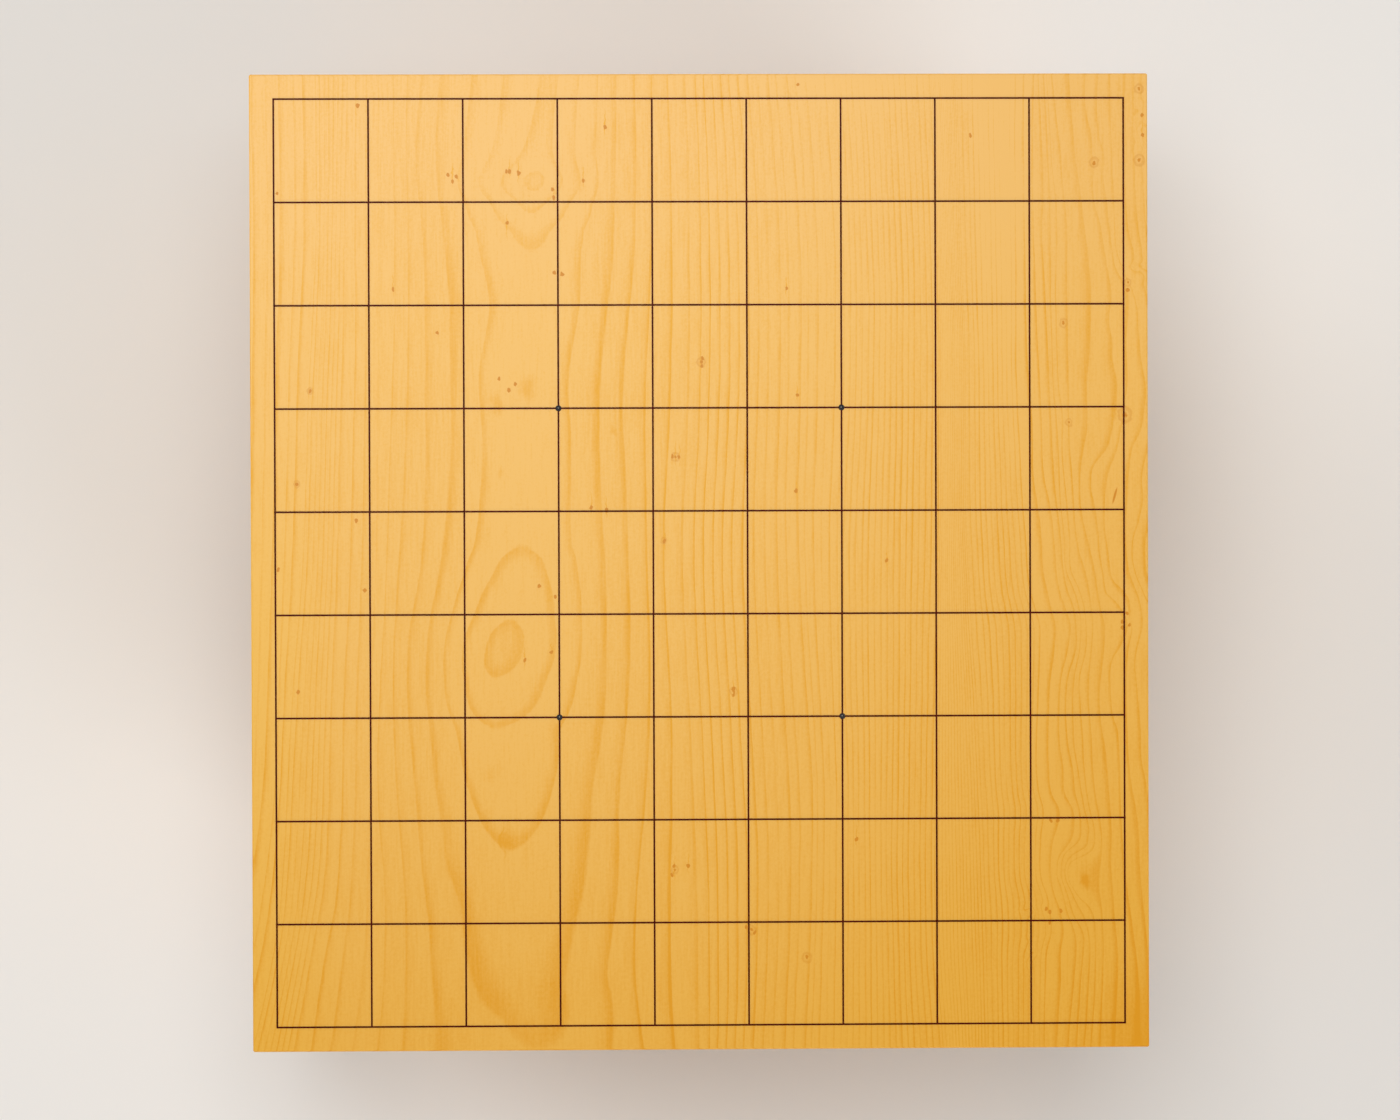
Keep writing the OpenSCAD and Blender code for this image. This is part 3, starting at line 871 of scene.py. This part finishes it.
def hollow(across):
    """Depth share of a hollow, 1 in its middle, with the ridge beside it a little rounded."""
    beside = math.sqrt((1 - across) ** 2 + RIDGE_SOFTNESS ** 2)
    return 1 - max(1 - beside, 0.0) ** FLUTE_POWER


def leg_piece(node_name):
    """A leg and its tenon, as rings of points joined up."""
    low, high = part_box(node_name)
    centre_x = (low.x + high.x) / 2 / MM
    centre_y = (low.y + high.y) / 2 / MM
    angles = leg_angles()
    rows = []
    for z, drawn_in in leg_levels():
        row = []
        for angle, across in angles:
            radius = ridge_radius(z) - drawn_in - flute_depth(z) * hollow(across)
            row.append((radius * math.cos(angle), radius * math.sin(angle), z))
        rows.append(row)
    tenon = [
        (TENON_W / 2, SHOULDER),
        (TENON_W / 2, SHOULDER + TENON_L - TENON_BEVEL),
        (TENON_W / 2 - TENON_BEVEL, SHOULDER + TENON_L),
    ]
    for half, z in tenon:
        row = []
        for angle, _ in angles:
            reach = half / max(abs(math.cos(angle)), abs(math.sin(angle)))
            row.append((reach * math.cos(angle), reach * math.sin(angle), z))
        rows.append(row)
    build = bmesh.new()
    loops = []
    for row in rows:
        places = [((x + centre_x) * MM, (y + centre_y) * MM, z * MM) for x, y, z in row]
        loops.append([build.verts.new(place) for place in places])
    count = len(angles)
    for under, over in zip(loops, loops[1:]):
        for this in range(count):
            after = (this + 1) % count
            build.faces.new((under[this], under[after], over[after], over[this]))
    build.faces.new(list(reversed(loops[0])))
    build.faces.new(loops[-1])
    mesh = bpy.data.meshes.new(node_name + "_carved")
    build.to_mesh(mesh)
    build.free()
    mesh.shade_smooth()
    mesh.set_sharp_from_angle(angle=math.radians(SHARP_DEGREES))
    leg = bpy.data.objects.new(node_name + "_carved", mesh)
    bpy.context.scene.collection.objects.link(leg)
    return leg


def legs():
    for body, members in frame["record"]["behaviour"]["bodies"].items():
        for node_name in members:
            if not node_name.startswith("leg_"):
                continue
            leg = leg_piece(node_name)
            low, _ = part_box(node_name)
            pith_x = low.x / MM - math.copysign(LEG_PITH_X, low.x)
            pith_y = low.y / MM - math.copysign(LEG_PITH_Y, low.y)
            leg.data.materials.append(leg_wood(node_name, pith_x, pith_y))
            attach(leg, body)
            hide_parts(node_name)


def dress_nodes():
    wood = board_wood()
    lines = line_lacquer()
    stars = star_lacquer()
    for name, node in frame["nodes"].items():
        if name.startswith(("file_", "rank_")):
            material = lines
        elif name.startswith("star_"):
            material = stars
        else:
            material = wood
        node.data.materials.clear()
        node.data.materials.append(material)


def seen_directly(graph):
    """1 for rays that show the backdrop or its mirror image, 0 for those that light the object."""
    paths = graph.add("LightPath").outputs
    shown = ("Is Camera Ray", "Is Glossy Ray", "Is Transmission Ray")
    return graph.largest(paths[name] for name in shown)


def backdrop_world():
    world = bpy.data.worlds.new("studio")
    world.use_nodes = True
    world.node_tree.nodes.clear()
    graph = Graph(world.node_tree)
    level = graph.ramp(seen_directly(graph), 0.0, 1.0, WORLD_LEVEL, BACKDROP_LEVEL)
    background = graph.add("Background")
    graph.feed(background.inputs["Color"], BACKDROP_WHITE)
    graph.feed(background.inputs["Strength"], level)
    output = graph.add("OutputWorld")
    graph.feed(output.inputs["Surface"], background.outputs[0])
    bpy.context.scene.world = world


def floor():
    """A disc that takes shadows near the object and fades to the backdrop far away."""
    mesh = bpy.data.meshes.new("floor")
    build = bmesh.new()
    bmesh.ops.create_circle(build, cap_ends=True, segments=FLOOR_SIDES, radius=FLOOR_RADIUS_M)
    build.to_mesh(mesh)
    build.free()
    disc = bpy.data.objects.new("floor", mesh)
    bpy.context.scene.collection.objects.link(disc)
    material, graph = new_material("floor_paint")
    x, y, _ = graph.separate(graph.position())
    far = graph.ramp(graph.distance(x, y), *FLOOR_FADE, smooth=True)
    far = graph.math("MULTIPLY", far, seen_directly(graph))
    paint = graph.add("BsdfDiffuse")
    graph.feed(paint.inputs["Color"], FLOOR_PAINT)
    glow = graph.add("Emission")
    graph.feed(glow.inputs["Color"], BACKDROP_WHITE)
    graph.feed(glow.inputs["Strength"], BACKDROP_LEVEL)
    blend = graph.add("MixShader")
    graph.feed(blend.inputs[0], far)
    graph.feed(blend.inputs[1], paint.outputs[0])
    graph.feed(blend.inputs[2], glow.outputs[0])
    output = graph.add("OutputMaterial")
    graph.feed(output.inputs["Surface"], blend.outputs[0])
    mesh.materials.append(material)


def softbox(name, place, side, watts, mirrored=True):
    """A square light aimed at the top. One that isn't mirrored leaves no glare at low angles."""
    light = bpy.data.lights.new(name, "AREA")
    light.shape = "SQUARE"
    light.size = side * MM
    light.energy = watts
    lamp = bpy.data.objects.new(name, light)
    bpy.context.scene.collection.objects.link(lamp)
    lamp.location = Vector(place) * MM
    aim = Vector((0, 0, TOP * MM)) - lamp.location
    lamp.rotation_euler = aim.to_track_quat("-Z", "Y").to_euler()
    lamp.visible_glossy = mirrored


def camera():
    lens = bpy.data.cameras.new("camera")
    lens.sensor_width = SENSOR_MM
    lens.lens = LENS_MM
    lens.clip_end = FARTHEST_SEEN_M
    holder = bpy.data.objects.new("camera", lens)
    bpy.context.scene.collection.objects.link(holder)
    holder.location = Vector(CAMERA_PLACE) * MM
    holder.rotation_euler = [math.radians(turn) for turn in CAMERA_TURN]
    bpy.context.scene.camera = holder


camera()
backdrop_world()
floor()
softbox("key_softbox", KEY_PLACE, KEY_SIDE, KEY_WATTS)
softbox("near_fill", NEAR_FILL_PLACE, FILL_SIDE, NEAR_FILL_WATTS, mirrored=False)
softbox("far_fill", FAR_FILL_PLACE, FILL_SIDE, FAR_FILL_WATTS, mirrored=False)
bpy.context.scene.view_settings.view_transform = "Standard"
dress_nodes()
legs()
